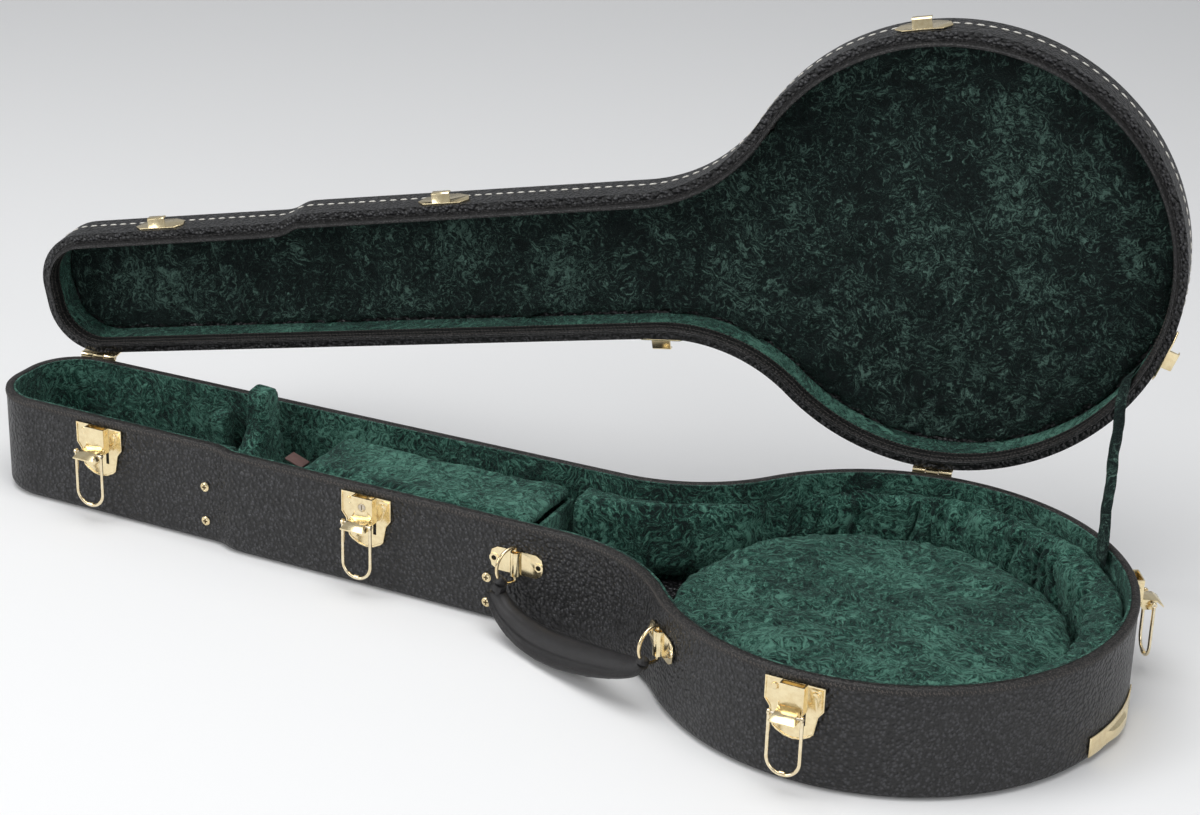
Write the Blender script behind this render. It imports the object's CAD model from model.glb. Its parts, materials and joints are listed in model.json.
import json
import math

import bmesh
import bpy
import numpy as np
from mathutils import Matrix, Vector, noise


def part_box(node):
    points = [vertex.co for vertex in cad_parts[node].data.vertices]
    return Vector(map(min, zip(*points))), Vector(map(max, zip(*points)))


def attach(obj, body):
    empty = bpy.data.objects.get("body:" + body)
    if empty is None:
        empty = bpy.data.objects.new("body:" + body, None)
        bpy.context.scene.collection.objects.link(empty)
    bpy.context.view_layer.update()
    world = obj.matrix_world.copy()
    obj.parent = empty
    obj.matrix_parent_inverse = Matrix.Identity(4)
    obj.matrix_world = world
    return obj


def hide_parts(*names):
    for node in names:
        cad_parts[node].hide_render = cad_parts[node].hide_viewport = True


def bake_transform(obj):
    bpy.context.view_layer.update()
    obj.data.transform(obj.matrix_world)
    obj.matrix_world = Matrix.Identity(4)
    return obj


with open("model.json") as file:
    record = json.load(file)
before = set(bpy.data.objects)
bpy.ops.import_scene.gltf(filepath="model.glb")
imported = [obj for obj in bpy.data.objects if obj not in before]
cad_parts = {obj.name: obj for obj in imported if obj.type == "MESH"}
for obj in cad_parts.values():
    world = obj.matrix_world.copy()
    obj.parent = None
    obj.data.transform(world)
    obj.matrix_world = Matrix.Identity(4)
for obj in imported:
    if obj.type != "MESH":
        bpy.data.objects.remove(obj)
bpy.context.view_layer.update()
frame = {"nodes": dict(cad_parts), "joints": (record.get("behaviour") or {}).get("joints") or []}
joints = {joint["name"]: joint for joint in frame["joints"]}
scene = bpy.context.scene
scene.view_settings.view_transform = "Standard"


# Camera
# Where the photograph was taken from: two metres off the handle side, looking down at the
# open case with a long lens.
camera_data = bpy.data.cameras.new("photo_camera")
camera_data.sensor_width = 36.0
camera_data.lens = 78.82
camera_data.clip_end = 40.0
camera = bpy.data.objects.new("photo_camera", camera_data)
camera.matrix_world = Matrix((
    (0.900513, -0.193579, 0.389364, 0.6050),
    (0.433898, 0.341438, -0.833758, -1.8777),
    (0.028454, 0.919754, 0.391463, 1.0697),
    (0, 0, 0, 1)))
scene.collection.objects.link(camera)
scene.camera = camera


# Studio
# A pale sweep of paper under and behind the case, a big soft lamp overhead, a long one at the
# camera's left and a low fill at the right.
def new_material(name):
    material = bpy.data.materials.new(name)
    material.use_nodes = True
    tree = material.node_tree
    return material, tree, tree.nodes["Principled BSDF"]


def fill_in(tree, node, feeds=(), values=()):
    """Types values into a node's inputs and links others to the sockets that feed them."""
    for key, value in dict(values).items():
        node.inputs[key].default_value = value
    for key, source in dict(feeds).items():
        tree.links.new(source, node.inputs[key])
    return node


def add_node(tree, kind, feeds=(), values=(), **settings):
    node = tree.nodes.new(kind)
    for key, setting in settings.items():
        setattr(node, key, setting)
    return fill_in(tree, node, feeds, values)


def colour_ramp(tree, source, low, *rest):
    """The colour that a ramp through stops of (position, colour) gives to a value."""
    ramp = add_node(tree, "ShaderNodeValToRGB", {"Fac": source})
    for element, (position, colour) in zip(ramp.color_ramp.elements, (low, rest[-1])):
        element.position = position
        element.color = (*colour, 1)
    for position, colour in rest[:-1]:
        ramp.color_ramp.elements.new(position).color = (*colour, 1)
    return ramp.outputs["Color"]


def times(colour, share):
    return tuple(part * share for part in colour)


def backdrop(width=14.0, front=-5.0, back=6.0, height=6.0, bend=1.5, sink=0.0005):
    rows = [(front, 0.0), (back - bend, 0.0)]
    for step in range(1, 9):
        turn = math.radians(90 * step / 8)
        rows.append((back - bend + bend * math.sin(turn), bend - bend * math.cos(turn)))
    rows.append((back, height))
    mesh = bpy.data.meshes.new("backdrop")
    verts = [(x, y, z - sink) for y, z in rows for x in (-width / 2, width / 2)]
    faces = [(2 * i, 2 * i + 1, 2 * i + 3, 2 * i + 2) for i in range(len(rows) - 1)]
    mesh.from_pydata(verts, [], faces)
    mesh.shade_smooth()
    material, tree, shader = new_material("backdrop_paper")
    shader.inputs["Base Color"].default_value = (0.86, 0.86, 0.86, 1)
    shader.inputs["Roughness"].default_value = 0.9
    mesh.materials.append(material)
    obj = bpy.data.objects.new("backdrop", mesh)
    scene.collection.objects.link(obj)


backdrop()


def soft_lamp(name, place, target, size, power):
    data = bpy.data.lights.new(name, "AREA")
    data.shape = "RECTANGLE"
    data.size, data.size_y = size
    data.energy = power
    lamp = bpy.data.objects.new(name, data)
    lamp.location = place
    aim = Vector(target) - Vector(place)
    lamp.rotation_euler = aim.to_track_quat("-Z", "Y").to_euler()
    scene.collection.objects.link(lamp)


soft_lamp("top_softbox", (-0.3, -0.5, 2.6), (-0.3, 0.1, 0.1), (2.6, 1.8), 46)
soft_lamp("left_softbox", (-2.4, -2.2, 1.5), (-0.4, 0.0, 0.2), (1.6, 1.6), 34)
soft_lamp("right_fill", (2.2, -1.6, 1.2), (0.0, 0.0, 0.2), (1.4, 1.4), 16)

world = bpy.data.worlds.new("studio_air")
world.use_nodes = True
world.node_tree.nodes["Background"].inputs["Color"].default_value = (0.9, 0.92, 0.95, 1)
world.node_tree.nodes["Background"].inputs["Strength"].default_value = 0.42
scene.world = world


# Shell
# Bent plywood walls and flat panels under pebbled black vinyl, glued on and rolled over the
# rounded bottom and top edges. The outline has two rounded head corners, a straight neck with
# a step in the handle side, two hollow flares and the round end; all linings follow it too.
POT_RADIUS = 0.203
HEAD_X = -0.884
HEAD_HALF = 0.061
HEAD_CORNER = 0.051
TAPER = math.radians(0.5)
FLARE = 0.149
STEP_X = -0.631
STEP_OUT = 0.0075
STEP_RUN = 0.031
BASE_HEIGHT = 0.099
LID_RIM = 0.100
LID_DEPTH = 0.047
LID_TOP = LID_RIM + LID_DEPTH
WALL = 0.0065
EDGE_ROUND = 0.009
PANEL = 0.005
RIM_STRIP = 0.0024


def arc(centre, radius, start, end, count, inward=False):
    points = []
    for i in range(count + 1):
        a = start + (end - start) * i / count
        ray = Vector((math.cos(a), math.sin(a)))
        points.append((centre + ray * radius, -ray if inward else ray))
    return points


def along(a, b, pitch):
    count = max(1, round((b[0] - a[0]).length / pitch))
    return [(a[0].lerp(b[0], i / count), a[1]) for i in range(1, count + 1)]


def half_outline(stepped, pitch):
    run = Vector((math.cos(TAPER), math.sin(TAPER)))
    out = Vector((-run.y, run.x))
    corner = Vector((HEAD_X + HEAD_CORNER, HEAD_HALF - HEAD_CORNER))
    points = [(Vector((HEAD_X, 0)), Vector((-1, 0)))]
    points += along(points[0], (Vector((HEAD_X, corner.y)), Vector((-1, 0))), pitch)
    bend = arc(corner, HEAD_CORNER, math.pi, math.pi / 2 + TAPER, round(1.55 * HEAD_CORNER / pitch))
    points += bend[1:]
    edge = points[-1][0].copy()
    if stepped:
        edge = edge + run * ((STEP_X - edge.x) / run.x)
        points += along(points[-1], (edge.copy(), out), pitch)
        turn = 2 * math.atan(STEP_OUT / STEP_RUN)
        radius = STEP_RUN / (2 * math.sin(turn))
        steps = max(3, round(STEP_RUN / 2 / pitch))
        square = TAPER - math.pi / 2
        points += arc(edge + out * radius, radius, square, square + turn, steps, True)[1:]
        edge = edge + run * STEP_RUN + out * STEP_OUT
        square = TAPER + math.pi / 2
        points += arc(edge - out * radius, radius, square + turn, square, steps)[1:]
    start = edge + out * FLARE
    ahead = start.dot(run)
    reach = -ahead - math.sqrt(ahead ** 2 - start.length_squared + (POT_RADIUS + FLARE) ** 2)
    flare = start + run * reach
    points += along(points[-1], (flare - out * FLARE, out), pitch)
    to_pot = math.atan2(-flare.y, -flare.x)
    points += arc(flare, FLARE, TAPER - math.pi / 2, to_pot, round(0.95 * FLARE / pitch), True)[1:]
    pot_steps = round(2.6 * POT_RADIUS / pitch)
    return points + arc(Vector((0, 0)), POT_RADIUS, to_pot + math.pi, 0, pot_steps)[1:]


def case_outline(pitch):
    hinge_side = half_outline(False, pitch)
    handle_side = [(Vector((p.x, -p.y)), Vector((n.x, -n.y))) for p, n in half_outline(True, pitch)]
    return handle_side + hinge_side[1:-1][::-1]


OUTLINE = case_outline(0.003)

# The lid is drawn shut and turned open about its hinge line
LID_SWING = math.radians(-88)
HINGE_AT = Vector(joints["lid_hinge"]["pos_m"])
HINGE_AXIS = Vector(joints["lid_hinge"]["axis"])
OPEN = (Matrix.Translation(HINGE_AT) @ Matrix.Rotation(LID_SWING, 4, HINGE_AXIS)
        @ Matrix.Translation(-HINGE_AT))


def made(name, verts, faces, material, place=None):
    mesh = bpy.data.meshes.new(name)
    mesh.from_pydata([tuple(v) for v in verts], [], faces)
    shape = bmesh.new()
    shape.from_mesh(mesh)
    bmesh.ops.remove_doubles(shape, verts=shape.verts, dist=1e-6)
    bmesh.ops.recalc_face_normals(shape, faces=shape.faces)
    shape.to_mesh(mesh)
    shape.free()
    if place is not None:
        mesh.transform(place)
    obj = bpy.data.objects.new(name, mesh)
    scene.collection.objects.link(obj)
    mesh.materials.append(material)
    mesh.shade_smooth()
    return obj


def soften(obj, angle=38):
    obj.data.shade_smooth()
    obj.data.set_sharp_from_angle(angle=math.radians(angle))
    return obj


def fitted(obj, body, slot, *nodes):
    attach(obj, body)
    if nodes:
        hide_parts(*nodes)
    return obj


def band(name, profile, material, place=None):
    """A closed band round the case: profile is a ring of (inset, height)."""
    count, rows = len(profile), len(OUTLINE)
    verts = []
    for p, n in OUTLINE:
        for inset, z in profile:
            q = p - n * inset
            verts.append((q.x, q.y, z))
    faces = []
    for i in range(rows):
        k = (i + 1) % rows
        for j in range(count):
            m = (j + 1) % count
            faces.append((i * count + j, k * count + j, k * count + m, i * count + m))
    return made(name, verts, faces, material, place)


def filled(name, layers, material, place=None):
    """A slab the shape of the case: layers of (inset, height) from one face to the other."""
    rows = len(OUTLINE)
    verts, faces = [], []
    for inset, z in layers:
        for p, n in OUTLINE:
            q = p - n * inset
            verts.append((q.x, q.y, z))
    for level in range(len(layers) - 1):
        for i in range(rows):
            k = (i + 1) % rows
            low, high = level * rows, (level + 1) * rows
            faces.append((low + i, low + k, high + k, high + i))
    faces.append(tuple(range(rows))[::-1])
    top = (len(layers) - 1) * rows
    faces.append(tuple(range(top, top + rows)))
    return made(name, verts, faces, material, place)


def pebbled_vinyl(name, tone=(0.019, 0.019, 0.021), pebbles=300.0, relief=0.0020, sheen=0.30):
    material, tree, shader = new_material(name)
    coords = add_node(tree, "ShaderNodeTexCoord").outputs["Object"]
    warp = add_node(tree, "ShaderNodeTexNoise", {"Vector": coords}, {"Scale": pebbles * 0.45, "Detail": 2})
    push = add_node(tree, "ShaderNodeVectorMath", {0: warp.outputs["Color"], 2: coords},
                    {1: (0.0022, 0.0022, 0.0022)}, operation="MULTIPLY_ADD")
    pebble = add_node(tree, "ShaderNodeTexVoronoi", {"Vector": push.outputs[0]},
                      {"Scale": pebbles, "Smoothness": 0.35}, feature="SMOOTH_F1").outputs["Distance"]
    crease = add_node(tree, "ShaderNodeTexNoise", {"Vector": coords},
                      {"Scale": 45, "Detail": 5, "Roughness": 0.65}).outputs["Fac"]
    height = add_node(tree, "ShaderNodeMath", {0: pebble, 2: crease}, {1: -1.0}, operation="MULTIPLY_ADD")
    bump = add_node(tree, "ShaderNodeBump", {"Height": height.outputs[0]},
                    {"Strength": 1.0, "Distance": relief})
    shade = colour_ramp(tree, pebble, (0.15, times(tone, 2.3)), (0.50, times(tone, 0.2)))
    gloss = add_node(tree, "ShaderNodeMapRange", {"Value": crease}, {"To Min": sheen, "To Max": sheen + 0.22})
    fill_in(tree, shader, {"Normal": bump.outputs["Normal"], "Base Color": shade,
                           "Roughness": gloss.outputs["Result"]}, {"Specular IOR Level": 0.5})
    return material


VINYL = pebbled_vinyl("pebbled_vinyl")


def rolled_edge(z, up, steps=6):
    layers = []
    for i in range(steps + 1):
        a = math.radians(90 * i / steps)
        layers.append((EDGE_ROUND * (1 - math.sin(a)), z + up * EDGE_ROUND * (1 - math.cos(a))))
    return layers


def vinyl_wall(name, low, high, body, node, place=None):
    profile = [(0, low), (WALL, low), (WALL, high), (0, high)]
    fitted(soften(band(name, profile, VINYL, place)), body, "vinyl_shell", node)


def vinyl_panel(name, face, up, body, node, place=None):
    """A flat panel with a rolled edge; up is 1 for the bottom and -1 for the top."""
    layers = rolled_edge(face, up) + [(WALL, face + up * EDGE_ROUND), (WALL, face + up * PANEL)]
    fitted(soften(filled(name, layers, VINYL, place)), body, "vinyl_shell", node)


WALL_TOP = BASE_HEIGHT - RIM_STRIP
vinyl_wall("base_vinyl_wall", EDGE_ROUND, WALL_TOP, "base", "base_side_wall")
vinyl_panel("base_vinyl_bottom", 0, 1, "base", "base_bottom_panel")
vinyl_wall("lid_vinyl_wall", LID_RIM, LID_TOP - EDGE_ROUND, "lid", "lid_side_wall", OPEN)
vinyl_panel("lid_vinyl_top", LID_TOP, -1, "lid", "lid_top_panel", OPEN)


# Rim binding of the base
# A folded strip of brown-black vinyl over the plywood's edge, whipped down all round with
# short slanted stitches of waxed thread.
BINDING_SKIRT = 0.0062
BINDING_PROUD = 0.0005
BINDING_IN = 0.0068
WHIP_DROP = 0.0034
WHIP_PITCH = 0.0036
WHIP_LENGTH = 0.0030
WHIP_THREAD = 0.0011
WHIP_SLANT = math.radians(58)

BINDING = pebbled_vinyl("binding_vinyl", (0.026, 0.023, 0.021), 620.0, 0.0005, 0.42)


def thread_material(name, colour, twist=1400.0):
    material, tree, shader = new_material(name)
    coords = add_node(tree, "ShaderNodeTexCoord").outputs["Object"]
    ply = add_node(tree, "ShaderNodeTexNoise", {"Vector": coords}, {"Scale": twist, "Detail": 2})
    shade = colour_ramp(tree, ply.outputs["Fac"], (0.3, times(colour, 0.5)), (0.6, colour))
    fill_in(tree, shader, {"Base Color": shade}, {"Roughness": 0.7})
    return material


def open_tree(name, floats, materials):
    """A node tree with its sockets, the identifiers of its inputs and what they give."""
    tree = bpy.data.node_groups.new(name, "GeometryNodeTree")
    kinds = {"Geometry": "NodeSocketGeometry", **dict.fromkeys(floats, "NodeSocketFloat"),
             **dict.fromkeys(materials, "NodeSocketMaterial")}
    names = {label: tree.interface.new_socket(label, in_out="INPUT", socket_type=kind).identifier
             for label, kind in kinds.items()}
    tree.interface.new_socket("Geometry", in_out="OUTPUT", socket_type="NodeSocketGeometry")
    return tree, names, tree.nodes.new("NodeGroupInput").outputs


def laid_on(tree, points, piece, rotation, material):
    """Lays a piece on every point, makes the copies real and gives them their material."""
    copies = add_node(tree, "GeometryNodeInstanceOnPoints",
                      {"Points": points, "Instance": piece, "Rotation": rotation})
    real = add_node(tree, "GeometryNodeRealizeInstances", {0: copies.outputs[0]})
    smooth = add_node(tree, "GeometryNodeSetShadeSmooth", {0: real.outputs[0]})
    return add_node(tree, "GeometryNodeSetMaterial",
                    {"Geometry": smooth.outputs[0], "Material": material}).outputs[0]


def stitch_row_tree():
    """Stitches along a line: a squashed bead laid on the line at every pitch."""
    tree, names, given = open_tree("stitch_row", ("Pitch", "Length", "Width", "Slant"), ("Thread",))
    line = add_node(tree, "GeometryNodeMeshToCurve", {"Mesh": given["Geometry"]})
    marks = add_node(tree, "GeometryNodeResampleCurve",
                     {"Curve": line.outputs[0], "Length": given["Pitch"]}, mode="LENGTH")
    bead = add_node(tree, "GeometryNodeMeshUVSphere", values={"Segments": 6, "Rings": 5, "Radius": 0.5})
    size = add_node(tree, "ShaderNodeCombineXYZ",
                    {"X": given["Length"], "Y": given["Width"], "Z": given["Width"]})
    lean = add_node(tree, "ShaderNodeCombineXYZ", {"Y": given["Slant"]})
    stitch = add_node(tree, "GeometryNodeTransform", {
        "Geometry": bead.outputs["Mesh"], "Scale": size.outputs[0], "Rotation": lean.outputs[0]})
    heading = add_node(tree, "GeometryNodeInputTangent")
    turn = add_node(tree, "FunctionNodeAlignRotationToVector", {"Vector": heading.outputs[0]}, axis="X")
    sewn = laid_on(tree, marks.outputs[0], stitch.outputs[0], turn.outputs[0], given["Thread"])
    add_node(tree, "NodeGroupOutput", {0: sewn})
    return tree, names


STITCH_ROW, STITCH_INPUTS = stitch_row_tree()


def settled(obj):
    """Turns a piece's modifiers into plain mesh."""
    graph = bpy.context.evaluated_depsgraph_get()
    graph.update()
    mesh = bpy.data.meshes.new_from_object(obj.evaluated_get(graph), depsgraph=graph)
    old = obj.data
    obj.modifiers.clear()
    obj.data = mesh
    bpy.data.meshes.remove(old)
    return obj


def grown(name, verts, edges, tree, inputs, values, place=None):
    """Runs a node tree on a line or a set of points and keeps the plain mesh."""
    mesh = bpy.data.meshes.new(name)
    mesh.from_pydata([tuple(v) for v in verts], edges, [])
    obj = bpy.data.objects.new(name, mesh)
    scene.collection.objects.link(obj)
    if "Facing" in values:
        facing = mesh.attributes.new("facing", "FLOAT_VECTOR", "POINT")
        facing.data.foreach_set("vector", [c for v in values.pop("Facing") for c in v])
    work = obj.modifiers.new("work", "NODES")
    work.node_group = tree
    for key, value in values.items():
        work[inputs[key]] = value
    settled(obj)
    if place is not None:
        obj.data.transform(place)
    return obj


def stitched(name, line, closed, body, thread, pitch, length, width, slant=0.0, place=None):
    edges = [(i, i + 1) for i in range(len(line) - 1)] + ([(len(line) - 1, 0)] if closed else [])
    obj = grown(name, line, edges, STITCH_ROW, STITCH_INPUTS,
                {"Pitch": pitch, "Length": length, "Width": width, "Slant": slant, "Thread": thread}, place)
    return fitted(obj, body, "edge_binding")


def round_case(inset, z):
    return [(p.x - n.x * inset, p.y - n.y * inset, z) for p, n in OUTLINE]


skirt = BASE_HEIGHT - BINDING_SKIRT
rim = band("base_rim_fold", [
    (-BINDING_PROUD, skirt), (0.0002, skirt), (0.0002, WALL_TOP), (BINDING_IN, WALL_TOP),
    (BINDING_IN, BASE_HEIGHT - 0.0008), (BINDING_IN - 0.0006, BASE_HEIGHT - 0.0001),
    (BINDING_IN / 2, BASE_HEIGHT + 0.0002), (0.0004, BASE_HEIGHT - 0.0001),
    (-BINDING_PROUD, BASE_HEIGHT - 0.0010)], BINDING)
fitted(soften(rim, 50), "base", "edge_binding", "base_rim_binding")
WAXED = thread_material("waxed_thread", (0.085, 0.074, 0.066))
stitched("base_rim_whipping", round_case(-BINDING_PROUD, BASE_HEIGHT - WHIP_DROP), True, "base", WAXED,
         WHIP_PITCH, WHIP_LENGTH, WHIP_THREAD, WHIP_SLANT)


# Lid tongue and the lid's sewn edge
# A stiff strip of black vinyl glued inside the lid's rim, which drops into the base, with three
# rows of fine stitches. Thick white thread is sewn round the lid's outside.
TONGUE_OUT = 0.0091
TONGUE_IN = 0.0119
TONGUE_FOOT = 0.092
TONGUE_TOP = 0.112
GLUE_LINE = 0.0068
FINE_PITCH = 0.0034
FINE_LENGTH = 0.0025
FINE_THREAD = 0.0008
WHITE_HEIGHT = 0.0235
WHITE_PITCH = 0.0105
WHITE_LENGTH = 0.0080
WHITE_THREAD = 0.0017

TONGUE_VINYL = pebbled_vinyl("tongue_vinyl", (0.020, 0.019, 0.019), 520.0, 0.0005, 0.40)
tongue = band("lid_tongue_strip", [
    (GLUE_LINE, LID_RIM), (TONGUE_OUT, LID_RIM), (TONGUE_OUT, TONGUE_FOOT + 0.0008),
    (TONGUE_OUT + 0.0006, TONGUE_FOOT), (TONGUE_IN - 0.0006, TONGUE_FOOT),
    (TONGUE_IN, TONGUE_FOOT + 0.0008), (TONGUE_IN, TONGUE_TOP - 0.0010),
    (TONGUE_IN - 0.0008, TONGUE_TOP), (GLUE_LINE, TONGUE_TOP)], TONGUE_VINYL, OPEN)
fitted(soften(tongue, 50), "lid", "edge_binding", "lid_tongue")
TONGUE_ROWS = {"foot": TONGUE_FOOT + 0.0030, "middle": LID_RIM + 0.0018, "top": TONGUE_TOP - 0.0022}
for row, height in TONGUE_ROWS.items():
    stitched(f"lid_tongue_stitches_{row}", round_case(TONGUE_IN, height), True, "lid", WAXED,
             FINE_PITCH, FINE_LENGTH, FINE_THREAD, place=OPEN)
WHITE = thread_material("white_thread", (0.74, 0.72, 0.66))
stitched("lid_white_stitches", round_case(-0.0002, LID_RIM + WHITE_HEIGHT), True, "lid", WHITE,
         WHITE_PITCH, WHITE_LENGTH, WHITE_THREAD, place=OPEN)


# Wall linings
# Crushed green plush glued straight to the walls. The pile lies in every direction, so each
# patch flashes light or stays nearly black, with fine streaks along its own lie.
SKIN_OUT = 0.0068
SKIN_IN = 0.0088
BASE_SKIN = (0.0053, 0.0985)
LID_SKIN = (0.1123, 0.1417)
SKIN_ROW = 0.005
SKIN_BULGE = 0.0016
SKIN_FOLD = 0.030
SKIN_FOOT = 0.002
SKIN_HEAD = 0.001
TONGUE_ROOM = 0.004


def crushed_velvet(name, dark=(0.002, 0.010, 0.009), mid=(0.015, 0.066, 0.048),
                   bright=(0.100, 0.250, 0.190), patch=22.0, lift=0.0, fuzz=0.22):
    """Two layers of combed strokes, each lying its own way in its own patches."""
    material, tree, shader = new_material(name)
    coords = add_node(tree, "ShaderNodeTexCoord").outputs["Object"]
    drift = add_node(tree, "ShaderNodeTexNoise", {"Vector": coords}, {"Scale": patch * 2.2, "Detail": 4})
    bent = add_node(tree, "ShaderNodeVectorMath", {0: drift.outputs["Color"], 2: coords},
                    {1: (0.026, 0.026, 0.026)}, operation="MULTIPLY_ADD").outputs[0]
    lies, strokes = [], []
    for scale, stretch in ((patch, (30.0, 330.0, 210.0)), (patch * 1.9, (46.0, 420.0, 260.0))):
        lie = add_node(tree, "ShaderNodeTexVoronoi", {"Vector": bent}, {"Scale": scale}, feature="F1")
        angle = add_node(tree, "ShaderNodeVectorMath", {0: lie.outputs["Color"]}, {"Scale": 6.2832},
                         operation="SCALE")
        combed = add_node(tree, "ShaderNodeVectorRotate", {"Vector": bent, "Rotation": angle.outputs[0]},
                          rotation_type="EULER_XYZ")
        drawn = add_node(tree, "ShaderNodeVectorMath", {0: combed.outputs[0]}, {1: stretch},
                         operation="MULTIPLY")
        streak = add_node(tree, "ShaderNodeTexNoise", {"Vector": drawn.outputs[0]},
                          {"Scale": 1.0, "Detail": 5, "Roughness": 0.66, "Distortion": 0.5})
        lies.append(lie.outputs["Color"])
        strokes.append(streak.outputs["Fac"])
    crossed = add_node(tree, "ShaderNodeMath", {0: strokes[0], 1: strokes[1]}, operation="MAXIMUM")
    keen = add_node(tree, "ShaderNodeMath", {0: crossed.outputs[0]}, {1: 1.45, 2: -0.25},
                    operation="MULTIPLY_ADD")
    cloud = add_node(tree, "ShaderNodeTexNoise", {"Vector": coords}, {"Scale": patch * 0.8, "Detail": 4})
    split = add_node(tree, "ShaderNodeSeparateColor", {"Color": lies[0]})
    tone = add_node(tree, "ShaderNodeMath", {0: split.outputs["Red"]}, {1: 0.08, 2: -0.21 + lift},
                    operation="MULTIPLY_ADD")
    haze = add_node(tree, "ShaderNodeMath", {0: cloud.outputs["Fac"], 2: tone.outputs[0]}, {1: 0.30},
                    operation="MULTIPLY_ADD")
    pile = add_node(tree, "ShaderNodeMath", {0: keen.outputs[0], 1: haze.outputs[0]},
                    operation="ADD").outputs[0]
    shade = colour_ramp(tree, pile, (0.41, dark), (0.51, mid), (0.66, bright))
    bump = add_node(tree, "ShaderNodeBump", {"Height": pile}, {"Strength": 0.9, "Distance": 0.004})
    fill_in(tree, shader, {"Base Color": shade, "Normal": bump.outputs["Normal"]},
            {"Roughness": 0.70, "Specular IOR Level": 0.2, "Sheen Weight": fuzz, "Sheen Roughness": 0.35,
             "Sheen Tint": (0.45, 0.80, 0.68, 1)})
    return material


VELVET = crushed_velvet("crushed_velvet")
VELVET_LID = crushed_velvet("crushed_velvet_lid", (0.002, 0.006, 0.006), (0.008, 0.020, 0.018),
                            (0.090, 0.165, 0.135), 30.0, -0.035, 0.08)


def read_points(obj, what="co"):
    spots = np.empty(len(obj.data.vertices) * 3)
    obj.data.vertices.foreach_get(what, spots)
    return spots.reshape(-1, 3)


def write_points(obj, spots):
    obj.data.vertices.foreach_set("co", spots.ravel())
    obj.data.update()
    return obj


def crumple(obj, depth, size, seed, region=None):
    """Pushes a cloth surface into soft bulges with pinched valleys between them."""
    noise.seed_set(seed)
    spots, outward = read_points(obj), read_points(obj, "normal")
    drift = Vector((seed * 7.31, seed * 3.17, seed * 5.73))
    for i, spot in enumerate(spots):
        share = 1.0 if region is None else region(spot)
        if share <= 0:
            continue
        p = Vector(spot) / size + drift
        bend = noise.noise_vector(p * 0.7) * 0.9
        bulge = abs(noise.noise(p + bend)) ** 0.8
        ripple = noise.noise(p * 2.9 + bend * 2)
        spots[i] = spot + outward[i] * (share * depth * (bulge * 1.5 - 0.55 + 0.3 * ripple))
    return write_points(obj, spots)


def wall_skin(name, span, flat_above, material, seed, body, node, place=None):
    low, high = span
    rows = round((high - low) / SKIN_ROW)
    profile = [(SKIN_OUT, low), (SKIN_OUT, high)]
    profile += [(SKIN_IN, high - (high - low) * i / rows) for i in range(rows + 1)]
    obj = band(name, profile, material)
    crumple(obj, SKIN_BULGE, SKIN_FOLD, seed,
            lambda spot: 1.0 if low + SKIN_FOOT < spot[2] < flat_above else 0.0)
    if place is not None:
        obj.data.transform(place)
    fitted(soften(obj, 60), body, "plush_lining", node)


# The base's skin lies flat where the lid's tongue slides down it
wall_skin("base_plush_skin", BASE_SKIN, TONGUE_FOOT - TONGUE_ROOM, VELVET, 1, "base", "base_wall_lining")
wall_skin("lid_plush_skin", LID_SKIN, LID_SKIN[1] - SKIN_HEAD, VELVET, 2, "lid", "lid_wall_lining", OPEN)


# Padding of the round well
# A thick ring of stuffed plush round the wall and a crowned floor cushion nestled inside it.
# The plush is gathered down the ring's inner side, where it folds into dark valleys.
CLOTH_STEPS = 20
CLOTH_GRAIN = 0.005
CLOTH_PRESSURE = 4.0
WELL_X = -0.017
WELL_RADIUS = 0.1769
RING_TOP = 0.088
RING_FOOT = 0.012


def copied(name, node, material):
    """A merged copy of a solid of the frame, its flat faces made whole."""
    mesh = frame["nodes"][node].data.copy()
    shape = bmesh.new()
    shape.from_mesh(mesh)
    bmesh.ops.remove_doubles(shape, verts=shape.verts, dist=2e-6)
    bmesh.ops.dissolve_limit(shape, angle_limit=math.radians(1), verts=shape.verts, edges=shape.edges)
    shape.to_mesh(mesh)
    shape.free()
    mesh.materials.clear()
    mesh.materials.append(material)
    obj = bpy.data.objects.new(name, mesh)
    scene.collection.objects.link(obj)
    return obj


def cloth_cover(name, node, material, grain):
    """A copy of a soft solid in even cloth, its edges eased."""
    obj = copied(name, node, material)
    even = obj.modifiers.new("even_cloth", "REMESH")
    even.mode = "VOXEL"
    even.voxel_size = grain
    ease = obj.modifiers.new("soft_edges", "SMOOTH")
    ease.factor = 0.5
    ease.iterations = 3
    return settled(obj)


def stuffed(name, node, body, material, seed, inset=0.0022, swell=0.001, grain=CLOTH_GRAIN,
            creases=0.0022, crease_size=0.030, finer=1):
    """Fills a cover the shape of its solid by cloth simulation, then creases it."""
    obj = cloth_cover(name, node, material, grain)
    start = read_points(obj) - read_points(obj, "normal") * inset
    write_points(obj, start)
    cloth = obj.modifiers.new("filling", "CLOTH")
    cloth.settings.quality = 3
    cloth.settings.use_pressure = True
    cloth.settings.uniform_pressure_force = CLOTH_PRESSURE
    cloth.settings.effector_weights.gravity = 0
    cloth.collision_settings.use_collision = False
    cloth.point_cache.frame_start = 1
    cloth.point_cache.frame_end = CLOTH_STEPS
    for step in range(1, CLOTH_STEPS + 1):
        scene.frame_set(step)
    settled(obj)
    scene.frame_set(1)
    shift = read_points(obj) - start
    far = np.linalg.norm(shift, axis=1, keepdims=True)
    write_points(obj, start + shift * np.minimum(1, (inset + swell) / np.maximum(far, 1e-9)))
    if finer:
        fine = obj.modifiers.new("finer_cloth", "SUBSURF")
        fine.levels = fine.render_levels = finer
        settled(obj)
    obj.name = obj.data.name = name
    crumple(obj, creases, crease_size, seed)
    obj.data.shade_smooth()
    return fitted(obj, body, "plush_lining", node)


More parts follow.
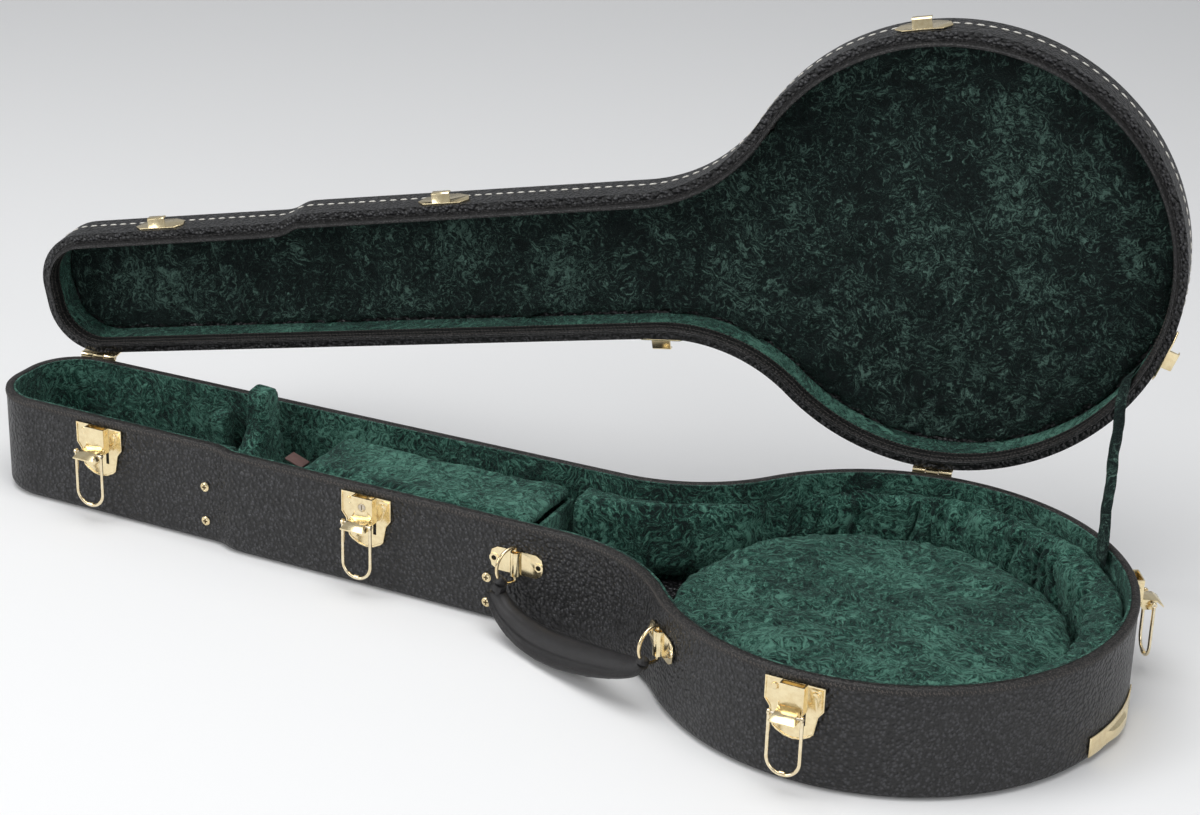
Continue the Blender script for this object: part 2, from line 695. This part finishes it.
def gathered(obj, pitch=0.022, depth=0.0075, reach=0.014):
    """Vertical valleys down the inner side of the well's ring."""
    spots = read_points(obj)
    for i, (east, y, z) in enumerate(spots):
        x = east - WELL_X
        away = math.hypot(x, y)
        if away > WELL_RADIUS + reach or z < RING_FOOT:
            continue
        turn = math.atan2(y, x) * WELL_RADIUS / pitch
        lean = noise.noise(Vector((turn * 0.4, 0, z * 14))) * 1.1
        fold = noise.noise(Vector((turn + lean, z * 9, 4.2)))
        valley = max(0.0, 1 - abs(fold) / 0.16) ** 1.3
        fade = min(1.0, (WELL_RADIUS + reach - away) / reach) * min(1.0, (z - RING_FOOT) / 0.02)
        spots[i] += np.array((x, y, 0)) / away * depth * valley * fade
    return write_points(obj, spots)


gathered(stuffed("well_ring_padding", "pot_ring_pad", "base", VELVET, 3, swell=0.0015,
                 creases=0.0034, crease_size=0.026))
stuffed("well_floor_cushion", "pot_floor_cushion", "base", VELVET, 4, creases=0.0034, crease_size=0.024)


# Heel pads, front ledge and headstock bay
# Blocks of foam under the same plush, tucked between the walls: two beside the banjo's heel,
# a long ledge in front of the compartment, a thin floor pad and a small rest for the headstock.
stuffed("heel_padding_rear", "heel_pad_rear", "base", VELVET, 5)
stuffed("heel_padding_front", "heel_pad_front", "base", VELVET, 6)
stuffed("front_ledge_padding", "neck_pad_front", "base", VELVET, 7)
stuffed("headstock_floor_padding", "headstock_floor_pad", "base", VELVET, 8, inset=0.0008,
        grain=0.003, creases=0.0008, finer=0)
stuffed("headstock_rest_padding", "headstock_rest_block", "base", VELVET, 9, inset=0.0010, grain=0.003,
        creases=0.0012, crease_size=0.016)

# Neck cradle
# A board across the neck with a hollow for it and one tall cheek, wrapped in thin padding and
# plush that is drawn tight and puckers at the foot of the cheek.
stuffed("neck_cradle_padding", "neck_cradle", "base", VELVET, 10, inset=0.0012, grain=0.0035,
        creases=0.0018, crease_size=0.020)


# Accessory compartment
# A tray of thin boards, a padded lid that lifts on its edge at the round end and a tab of
# pink-brown leather nailed to the lid's other end.
BOARD_EDGE = 0.0008
TAB_EDGE = 0.0003


def round_edges(obj, width, angle=None):
    """Rounds the edges that are sharper than an angle, or than Blender's own 30 degrees."""
    edges = obj.modifiers.new("round_edges", "BEVEL")
    edges.width, edges.segments, edges.limit_method = width, 2, "ANGLE"
    if angle is not None:
        edges.angle_limit = angle
    return settled(obj)


board = round_edges(copied("compartment_box", "compartment_tray", VELVET), BOARD_EDGE)
fitted(soften(board, 50), "base", "plush_lining", "compartment_tray")
stuffed("compartment_lid_padding", "compartment_lid", "compartment_lid", VELVET, 11, inset=0.0016,
        creases=0.0016, grain=0.004)


def leather(name, tone, grain, relief, rough):
    material, tree, shader = new_material(name)
    coords = add_node(tree, "ShaderNodeTexCoord").outputs["Object"]
    cells = add_node(tree, "ShaderNodeTexVoronoi", {"Vector": coords}, {"Scale": grain},
                     feature="DISTANCE_TO_EDGE")
    stretch = add_node(tree, "ShaderNodeTexNoise", {"Vector": coords},
                       {"Scale": grain * 0.12, "Detail": 4}).outputs["Fac"]
    lines = add_node(tree, "ShaderNodeMapRange", {"Value": cells.outputs["Distance"]}, {"From Max": 0.09})
    height = add_node(tree, "ShaderNodeMath", {0: lines.outputs["Result"], 1: stretch}, operation="ADD")
    bump = add_node(tree, "ShaderNodeBump", {"Height": height.outputs[0]},
                    {"Strength": 0.7, "Distance": relief})
    shade = colour_ramp(tree, stretch, (0.3, times(tone, 0.6)), (0.7, tone))
    spread = add_node(tree, "ShaderNodeMapRange", {"Value": stretch},
                      {"To Min": rough - 0.08, "To Max": rough + 0.12})
    fill_in(tree, shader, {"Normal": bump.outputs["Normal"], "Base Color": shade,
                           "Roughness": spread.outputs["Result"]})
    return material


TAB_LEATHER = leather("tab_leather", (0.150, 0.085, 0.075), 900.0, 0.0002, 0.6)
tab = round_edges(copied("compartment_leather_tab", "compartment_pull_tab", TAB_LEATHER), TAB_EDGE)
fitted(soften(tab, 50), "compartment_lid", "leather_tab", "compartment_pull_tab")


# Lining of the lid
# Plush over a thin sheet of wadding, glued at its edge and left to crumple in the middle. The
# cover is too thin and wide for a filling, so its folds are pressed in by code.
LINING_GRAIN = 0.0042

lid_lining = cloth_cover("lid_crumpled_lining", "lid_top_lining", VELVET_LID, LINING_GRAIN)
crumple(lid_lining, 0.0044, 0.026, 12)
crumple(lid_lining, 0.0018, 0.011, 13)
lid_lining.data.shade_smooth()
fitted(lid_lining, "lid", "plush_lining", "lid_top_lining")


# Lid stay
# A strip of plush sewn into a soft band, twisted once on its way from the wall of the base to
# the wall of the lid. It is glued behind the padding at both ends.
STAY_ANGLE = math.radians(40)
STAY_WIDTH = 0.019
STAY_THICK = 0.0024
STAY_CLEAR = 0.0012
STAY_HOLD = 0.012
STAY_IN_LID = 0.030
STAY_UNDER_PAD = 0.0106
STAY_STEPS = 60
STAY_SIDES = 20


def smooth_path(knots, steps):
    """Points at even steps along a centripetal spline through the knots."""
    ends = [2 * knots[0] - knots[1], *knots, 2 * knots[-1] - knots[-2]]
    dense = []
    for i in range(1, len(ends) - 2):
        p0, p1, p2, p3 = ends[i - 1:i + 3]
        t1 = max((p1 - p0).length, 1e-9) ** 0.5
        t2 = t1 + max((p2 - p1).length, 1e-9) ** 0.5
        t3 = t2 + max((p3 - p2).length, 1e-9) ** 0.5
        for j in range(24):
            t = t1 + (t2 - t1) * j / 24
            a1 = p0.lerp(p1, t / t1)
            a2 = p1.lerp(p2, (t - t1) / (t2 - t1))
            a3 = p2.lerp(p3, (t - t2) / (t3 - t2))
            b1 = a1.lerp(a2, t / t2)
            b2 = a2.lerp(a3, (t - t1) / (t3 - t1))
            dense.append(b1.lerp(b2, (t - t1) / (t2 - t1)))
    dense.append(knots[-1].copy())
    reach = [0.0]
    for a, b in zip(dense, dense[1:]):
        reach.append(reach[-1] + (b - a).length)
    path, k = [], 0
    for i in range(steps + 1):
        want = reach[-1] * i / steps
        while k < len(dense) - 2 and reach[k + 1] < want:
            k += 1
        path.append(dense[k].lerp(dense[k + 1], (want - reach[k]) / max(reach[k + 1] - reach[k], 1e-9)))
    return path


def lofted(name, sections, material, closed=False):
    count, rows = len(sections[0]), len(sections)
    verts = [v for section in sections for v in section]
    faces = []
    for i in range(rows if closed else rows - 1):
        k = (i + 1) % rows
        for j in range(count):
            m = (j + 1) % count
            faces.append((i * count + j, i * count + m, k * count + m, k * count + j))
    if not closed:
        faces.append(tuple(range(count))[::-1])
        faces.append(tuple(range((rows - 1) * count, rows * count)))
    return made(name, verts, faces, material)


def stay_strap():
    ray = Vector((math.cos(STAY_ANGLE), math.sin(STAY_ANGLE), 0))
    inset = TONGUE_IN + STAY_CLEAR + STAY_THICK / 2

    def flat(more, z):
        return ray * (POT_RADIUS - inset - more) + Vector((0, 0, z))

    knots = [flat(0, RING_TOP + STAY_CLEAR), flat(0, RING_TOP + STAY_HOLD),
             OPEN @ flat(STAY_THICK, TONGUE_FOOT - STAY_THICK), OPEN @ flat(0, TONGUE_TOP + STAY_THICK),
             OPEN @ flat(STAY_UNDER_PAD - inset, LID_RIM + STAY_IN_LID)]
    path = smooth_path(knots, STAY_STEPS)
    wide = Vector((-ray.y, ray.x, 0))
    wide_lid = OPEN.to_3x3() @ wide
    sections = []
    for i, centre in enumerate(path):
        share = i / STAY_STEPS
        tangent = (path[min(i + 1, STAY_STEPS)] - path[max(i - 1, 0)]).normalized()
        width = wide.lerp(wide_lid, share)
        width = (width - tangent * width.dot(tangent)).normalized()
        face = tangent.cross(width)
        free = min(1.0, max(0.0, min(share - 0.10, 0.90 - share) / 0.12))
        half_wide = STAY_WIDTH / 2 * (1 - 0.38 * free)
        half_thick = STAY_THICK / 2 * (1 + 1.9 * free)
        section = []
        for j in range(STAY_SIDES):
            a = 2 * math.pi * j / STAY_SIDES
            pleat = 1 + 0.16 * free * math.sin(3 * a + share * 26) + 0.05 * math.sin(7 * a - share * 40)
            across = width * math.cos(a) * half_wide * pleat
            section.append(centre + across + face * math.sin(a) * half_thick * pleat)
        sections.append(section)
    strap = lofted("lid_stay_band", sections, VELVET_LID)
    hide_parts("lid_stay_strap")
    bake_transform(strap)


stay_strap()


# Butt hinges
# Two small hinges of pressed and rolled sheet with a bright gilt plating, riveted to the shell
# at the head's corner and at the round end.
def gilt_metal(name, colour=(0.93, 0.79, 0.50), rough=0.17):
    material, tree, shader = new_material(name)
    coords = add_node(tree, "ShaderNodeTexCoord").outputs["Object"]
    rub = add_node(tree, "ShaderNodeTexNoise", {"Vector": coords}, {"Scale": 220, "Detail": 5}).outputs["Fac"]
    spread = add_node(tree, "ShaderNodeMapRange", {"Value": rub},
                      {"To Min": rough * 0.7, "To Max": rough * 1.5})
    worn = (colour[0] * 0.9, colour[1] * 0.86, colour[2] * 0.8)
    shade = colour_ramp(tree, rub, (0.35, worn), (0.6, colour))
    fill_in(tree, shader, {"Roughness": spread.outputs["Result"], "Base Color": shade}, {"Metallic": 1.0})
    return material


GILT = gilt_metal("gilt_metal")
STEEL = gilt_metal("pin_steel", (0.66, 0.60, 0.50), 0.28)
SHADOW = gilt_metal("recess_metal", (0.10, 0.07, 0.035), 0.5)


def polished(name, node, body, material, edge=0.0004, slot="gilt_hardware"):
    """A solid of the frame with its pressed edges rounded."""
    obj = round_edges(copied(name, node, material), edge, math.radians(35))
    obj.name = obj.data.name = name
    return fitted(soften(obj, 40), body, slot, node)


def head_tree(name, crossed):
    """Fastener heads on points that carry a facing: a dome in a ring, with a cross cut in it."""
    tree, names, given = open_tree(name, ("Radius", "Rise", "Ring", "Cross"), ("Metal", "Recess"))
    dome = add_node(tree, "GeometryNodeMeshUVSphere", values={"Segments": 20, "Rings": 10, "Radius": 1.0})
    size = add_node(tree, "ShaderNodeCombineXYZ",
                    {"X": given["Radius"], "Y": given["Radius"], "Z": given["Rise"]})
    shaped = add_node(tree, "GeometryNodeTransform",
                      {"Geometry": dome.outputs["Mesh"], "Scale": size.outputs[0]})
    rim_line = add_node(tree, "GeometryNodeCurvePrimitiveCircle", {"Radius": given["Radius"]},
                        {"Resolution": 24})
    wire = add_node(tree, "GeometryNodeCurvePrimitiveCircle", {"Radius": given["Ring"]}, {"Resolution": 8})
    ring = add_node(tree, "GeometryNodeCurveToMesh",
                    {"Curve": rim_line.outputs["Curve"], "Profile Curve": wire.outputs["Curve"]})
    pieces = [shaped.outputs[0], ring.outputs[0]]
    for lengthwise, sideways in (("X", "Y"), ("Y", "X")) if crossed else ():
        thin = add_node(tree, "ShaderNodeMath", {0: given["Cross"]}, {1: 0.24}, operation="MULTIPLY")
        reach = add_node(tree, "ShaderNodeCombineXYZ",
                         {lengthwise: given["Cross"], sideways: thin.outputs[0], "Z": thin.outputs[0]})
        bar = add_node(tree, "GeometryNodeMeshCube", {"Size": reach.outputs[0]})
        sink = add_node(tree, "ShaderNodeMath", {0: given["Rise"]}, {1: 0.78}, operation="MULTIPLY")
        lift = add_node(tree, "ShaderNodeCombineXYZ", {"Z": sink.outputs[0]})
        seat = add_node(tree, "GeometryNodeTransform",
                        {"Geometry": bar.outputs["Mesh"], "Translation": lift.outputs[0]})
        mark = add_node(tree, "GeometryNodeStoreNamedAttribute", {"Geometry": seat.outputs[0]},
                        {"Name": "recess", "Value": True}, data_type="BOOLEAN", domain="FACE")
        pieces.append(mark.outputs[0])
    whole = add_node(tree, "GeometryNodeJoinGeometry")
    for piece in pieces:
        tree.links.new(piece, whole.inputs[0])
    facing = add_node(tree, "GeometryNodeInputNamedAttribute", values={"Name": "facing"},
                      data_type="FLOAT_VECTOR")
    turn = add_node(tree, "FunctionNodeAlignRotationToVector", {"Vector": facing.outputs["Attribute"]},
                    axis="Z")
    shine = laid_on(tree, given["Geometry"], whole.outputs[0], turn.outputs[0], given["Metal"])
    cut = add_node(tree, "GeometryNodeInputNamedAttribute", values={"Name": "recess"}, data_type="BOOLEAN")
    dark = add_node(tree, "GeometryNodeSetMaterial", {
        "Geometry": shine, "Selection": cut.outputs["Attribute"], "Material": given["Recess"]})
    add_node(tree, "NodeGroupOutput", {0: dark.outputs[0]})
    return tree, names


RIVET = head_tree("rivet_heads", False)
SCREW = head_tree("screw_heads", True)


def fastened(name, spots, tree, inputs, radius, rise, ring, cross=0.0):
    """Fastener heads on the base, at spots of (place, direction out)."""
    obj = grown(name, [place for place, out in spots], [], tree, inputs,
                {"Facing": [out for place, out in spots], "Radius": radius, "Rise": rise, "Ring": ring,
                 "Cross": cross, "Metal": GILT, "Recess": SHADOW})
    fitted(soften(obj, 40), "base", "gilt_hardware")


for name in ("head", "pot"):
    polished(f"hinge_{name}_rolled_base_leaf", f"hinge_{name}_base_leaf", "base", GILT, 0.0003)
    polished(f"hinge_{name}_rolled_lid_leaf", f"hinge_{name}_lid_leaf", "lid", GILT, 0.0003)
    polished(f"hinge_{name}_steel_pin", f"hinge_{name}_pin", "base", STEEL, 0.0002, "steel_pins")


# Draw latches
# Five pressed and folded draw latches: a shield-shaped plate with a hollow box, a lever on two
# stub pivots, a cross pin and a wire bail, all gilt. Two hollow rivets hold each plate.
PLATE_TOP = 0.092
LEVER_OUT = 0.0075
LEVER_DROP = 0.0215
PIN_OUT = 0.0187
RIVET_ALONG = 0.017
RIVET_DROP = 0.008
RIVET_OUT = 0.0016
RIVET_RADIUS = 0.0029
RIVET_RISE = 0.0006
RIVET_RING = 0.0006
BAIL_AT = 0.0139
BAIL_WIRE = 0.0015
BAIL_LENGTH = 0.052
EYE_RADIUS = 0.0025
EYE_WIDTH = 0.0024
CRIMP_RADIUS = 0.0021
CRIMP_WIDTH = 0.0052
CRIMP_UP = 0.0009
WIRE_GOLD = gilt_metal("bail_wire", (0.94, 0.82, 0.58), 0.20)


def wall_frame(joint, out, drop):
    """Axes on the wall: X along it, Y out of it, Z up, from the height that the drop is taken from."""
    run = Vector(joints[joint]["axis"])
    outward = Vector((run.y, -run.x, 0)).normalized()
    place = Vector(joints[joint]["pos_m"]) - outward * out + Vector((0, 0, drop))
    return Matrix.Translation(place) @ Matrix((run, outward, (0, 0, 1))).transposed().to_4x4()


def tube(path, radius, sides=14, closed=False):
    """Round sections along a path; radius is one number or one for each point."""
    count = len(path)
    sections = []
    up = Vector((0.13, 0.31, 0.94))
    for i, centre in enumerate(path):
        before = path[i - 1] if closed or i else path[i]
        after = path[(i + 1) % count] if closed or i < count - 1 else path[i]
        tangent = (after - before).normalized()
        up = (up - tangent * up.dot(tangent)).normalized()
        side = tangent.cross(up)
        r = radius[i] if isinstance(radius, list) else radius
        sections.append([centre + (up * math.cos(a) + side * math.sin(a)) * r
                         for a in (2 * math.pi * j / sides for j in range(sides))])
    return sections


def joined(name, pieces):
    """Joins finished meshes with the same material into one piece."""
    shape = bmesh.new()
    for obj in pieces:
        shape.from_mesh(obj.data)
    mesh = bpy.data.meshes.new(name)
    shape.to_mesh(mesh)
    shape.free()
    mesh.materials.append(pieces[0].data.materials[0])
    for obj in pieces:
        bpy.data.objects.remove(obj)
    whole = bpy.data.objects.new(name, mesh)
    scene.collection.objects.link(whole)
    mesh.shade_smooth()
    return whole


def barrel(name, at, axis, radius, width, material, edge=0.0004):
    half = axis.normalized() * width / 2
    ease = axis.normalized() * edge
    path = [at - half, at - half + ease, at + half - ease, at + half]
    return lofted(name, tube(path, [radius - edge, radius, radius, radius - edge], 20), material)


def latch_bail(k):
    wall = wall_frame(f"latch_{k}_lever_hinge", LEVER_OUT, LEVER_DROP)
    straight = BAIL_LENGTH - BAIL_AT
    line = [Vector((-BAIL_AT, 0, -straight * i / 8 - EYE_RADIUS / 2 * (1 - i / 8))) for i in range(9)]
    line += [Vector((-BAIL_AT * math.cos(a), 0, -straight - BAIL_AT * math.sin(a)))
             for a in (math.pi * i / 24 for i in range(1, 24))]
    line += [Vector((-v.x, 0, v.z)) for v in line[8::-1]]
    path = [wall @ (v + Vector((0, PIN_OUT, -LEVER_DROP))) for v in line]
    along_wall = wall.to_3x3() @ Vector((1, 0, 0))
    parts = [lofted("bail_wire", tube(path, BAIL_WIRE), WIRE_GOLD)]
    for side in (-1, 1):
        eye = wall @ Vector((side * BAIL_AT, PIN_OUT, -LEVER_DROP))
        parts.append(barrel("bail_eye", eye, along_wall, EYE_RADIUS, EYE_WIDTH, WIRE_GOLD))
    crimp = wall @ Vector((0, PIN_OUT, -LEVER_DROP - BAIL_LENGTH + CRIMP_UP))
    parts.append(barrel("bail_crimp", crimp, along_wall, CRIMP_RADIUS, CRIMP_WIDTH, WIRE_GOLD))
    bail = joined(f"latch_{k}_bent_bail", parts)
    fitted(soften(bail, 40), f"bail_{k}", "gilt_hardware", f"latch_{k}_bail")


for k in range(1, 6):
    polished(f"latch_{k}_pressed_plate", f"latch_{k}_plate", "base", GILT, 0.0005)
    polished(f"latch_{k}_folded_lever", f"latch_{k}_lever", f"lever_{k}", GILT, 0.0004)
    polished(f"latch_{k}_steel_pin", f"latch_{k}_cross_pin", f"cross_pin_{k}", STEEL, 0.0002, "steel_pins")
    latch_bail(k)
    wall = wall_frame(f"latch_{k}_lever_hinge", LEVER_OUT, LEVER_DROP)
    outward = wall.to_3x3() @ Vector((0, 1, 0))
    spots = [(wall @ Vector((side * RIVET_ALONG, RIVET_OUT, -RIVET_DROP)), outward) for side in (-1, 1)]
    fastened(f"latch_{k}_hollow_rivets", spots, *RIVET, RIVET_RADIUS, RIVET_RISE, RIVET_RING)
polished("latch_key_plug", "lock_plug", "lock_plug", STEEL, 0.0003, "steel_pins")


# Keepers
# Winged plates on the lid with a raised hook in the middle that the bail drops over.
for k in range(1, 6):
    polished(f"keeper_{k}_pressed_hook", f"keeper_{k}", "lid", GILT, 0.0004)


# Handle
# Two arched brackets of ribbed sheet, two bright D-rings whose straight side stands in them,
# and a grip of black leather stuffed hard, sewn shut along a flange below and looped round
# the rings.
RING_RADIUS = 0.0163
RING_BACK = 0.0045
RING_WIRE = 0.0015
GRIP_RADIUS = 0.0105
GRIP_END = 0.0055
GRIP_STEPS = 64
GRIP_SIDES = 28
GRIP_DROP = 0.029
GRIP_ALONG = (0, -0.02, 0.05, 0.22, 0.44, 0.66, 0.85, 0.97, 1)
GRIP_FALL = (0, 0.3, 0.72, 1, 0.93, 0.68, 0.4, 0.16, 0)
FLANGE_DROP = 0.009
FLANGE_HALF = 0.0017
FLANGE_SHARES = ((0.15, -0.85), (0.55, -0.9), (0.9, -1), (1, -0.55),
                 (1, 0.55), (0.9, 1), (0.55, 0.9), (0.15, 0.85))
LOOP_RADIUS = 0.0045
LOOP_WIDTH = 0.0095
LOOP_EDGE = 0.0012
SEAM_PITCH = 0.0042
SEAM_LENGTH = 0.0030
SEAM_THREAD = 0.0009

grip_joint = joints["handle_grip_swing"]
ring_centre = Vector(grip_joint["pos_m"])
chord = -Vector(grip_joint["axis"])
handle_out = Vector((chord.y, -chord.x, 0)).normalized()
boxes = {name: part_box(f"handle_ring_{name}") for name in ("head", "pot")}
middles = {name: (Vector(low) + Vector(high)) / 2 for name, (low, high) in boxes.items()}
span = (middles["pot"] - middles["head"]).dot(chord)
centres = {"head": ring_centre, "pot": ring_centre + chord * span}
RING_GOLD = gilt_metal("ring_gold", (0.92, 0.76, 0.48), 0.13)

for name, centre in centres.items():
    polished(f"handle_bracket_{name}_ribbed", f"handle_bracket_{name}", "base", GILT, 0.0004)
    corner = math.acos(-RING_BACK / RING_RADIUS)
    line = [(RING_RADIUS * math.cos(a), RING_RADIUS * math.sin(a))
            for a in (corner * (2 * i / 40 - 1) for i in range(41))]
    line += [(-RING_BACK, RING_RADIUS * math.sin(corner) * (1 - 2 * i / 12)) for i in range(1, 12)]
    path = [centre + handle_out * x + Vector((0, 0, z)) for x, z in line]
    ring = lofted(f"handle_d_ring_{name}", tube(path, RING_WIRE, 16, True), RING_GOLD, True)
    fitted(ring, "base", "gilt_hardware", f"handle_ring_{name}")

GRIP_LEATHER = leather("grip_leather", (0.020, 0.019, 0.020), 750.0, 0.00035, 0.40)


def sewn_grip():
    """Makes the grip and returns the lines of its two seams."""
    turn = math.radians(45)

    def on_ring(centre):
        drop = Vector((0, 0, RING_RADIUS * math.sin(turn)))
        return centre + handle_out * RING_RADIUS * math.cos(turn) - drop

    start = on_ring(centres["head"])
    knots = [start + chord * share * span - Vector((0, 0, LOOP_RADIUS / 2 + fall * GRIP_DROP))
             for share, fall in zip(GRIP_ALONG, GRIP_FALL)]
    path = smooth_path(knots, GRIP_STEPS)
    sections, seam = [], {-1: [], 1: []}
    for i, centre in enumerate(path):
        share = i / GRIP_STEPS
        swell = math.sin(math.pi * min(share, 1 - share)) ** 0.6
        radius = GRIP_END + (GRIP_RADIUS - GRIP_END) * swell
        tangent = (path[min(i + 1, GRIP_STEPS)] - path[max(i - 1, 0)]).normalized()
        down = tangent.cross(handle_out).normalized()
        if down.z > 0:
            down = -down
        low = (down * math.cos(turn) + handle_out * math.sin(turn)).normalized()
        side = low.cross(tangent).normalized()
        drop = FLANGE_DROP * swell
        section = []
        open_turn = math.asin(min(0.9, FLANGE_HALF / radius)) * 1.5
        for j in range(GRIP_SIDES):
            a = open_turn + (2 * math.pi - 2 * open_turn) * j / (GRIP_SIDES - 1)
            section.append(centre + low * radius * math.cos(a) + side * radius * math.sin(a))
        for fall, half in FLANGE_SHARES:
            section.append(centre + low * (radius + drop * fall) + side * FLANGE_HALF * half)
        sections.append(section)
        for way in seam:
            if 0.06 < share < 0.94:
                seam[way].append(centre + low * (radius + drop * 0.55) + side * way * FLANGE_HALF * 0.95)
    parts = [lofted("grip_tube", sections, GRIP_LEATHER)]
    lie = (handle_out * math.sin(turn) + Vector((0, 0, math.cos(turn)))).normalized()
    for centre in centres.values():
        parts.append(barrel("grip_loop", on_ring(centre), lie, LOOP_RADIUS, LOOP_WIDTH, GRIP_LEATHER,
                            LOOP_EDGE))
    grip = joined("handle_stuffed_grip", parts)
    crumple(grip, 0.0005, 0.012, 21)
    fitted(soften(grip, 60), "handle_grip", "leather_grip", "handle_grip")
    return seam


BLACK_THREAD = thread_material("black_thread", (0.055, 0.050, 0.048))
for way, line in sewn_grip().items():
    stitched(f"handle_grip_seam_{'front' if way > 0 else 'back'}", line, False, "handle_grip", BLACK_THREAD,
             SEAM_PITCH, SEAM_LENGTH, SEAM_THREAD)


# End bumper and screws
# A gilt strip with a pressed rib guards the round end where the case is stood up. Four brass
# screws with crossed heads hold the boards inside the neck.
polished("end_bumper_pressed_strip", "end_bumper", "base", GILT, 0.0005)
SCREW_PLACES = ((-0.637, 0.056), (-0.637, 0.022), (-0.341, 0.041), (-0.341, 0.017))
SCREW_RADIUS = 0.0040
SCREW_RISE = 0.0012
SCREW_RING = 0.0005
SCREW_CROSS = 0.0044
SCREW_PROUD = 0.0006
NECK_SPAN = (-0.84, -0.2)


def handle_wall_at(x):
    front = [(p, n) for p, n in OUTLINE if p.y < 0 and NECK_SPAN[0] < p.x < NECK_SPAN[1]]
    p, n = min(front, key=lambda station: abs(station[0].x - x))
    return p + Vector((x - p.x, 0)), n


spots = []
for x, z in SCREW_PLACES:
    p, n = handle_wall_at(x)
    spots.append((Vector((p.x, p.y, z)) + Vector((n.x, n.y, 0)) * SCREW_PROUD, Vector((n.x, n.y, 0))))
fastened("neck_wall_screws", spots, *SCREW, SCREW_RADIUS, SCREW_RISE, SCREW_RING, SCREW_CROSS)
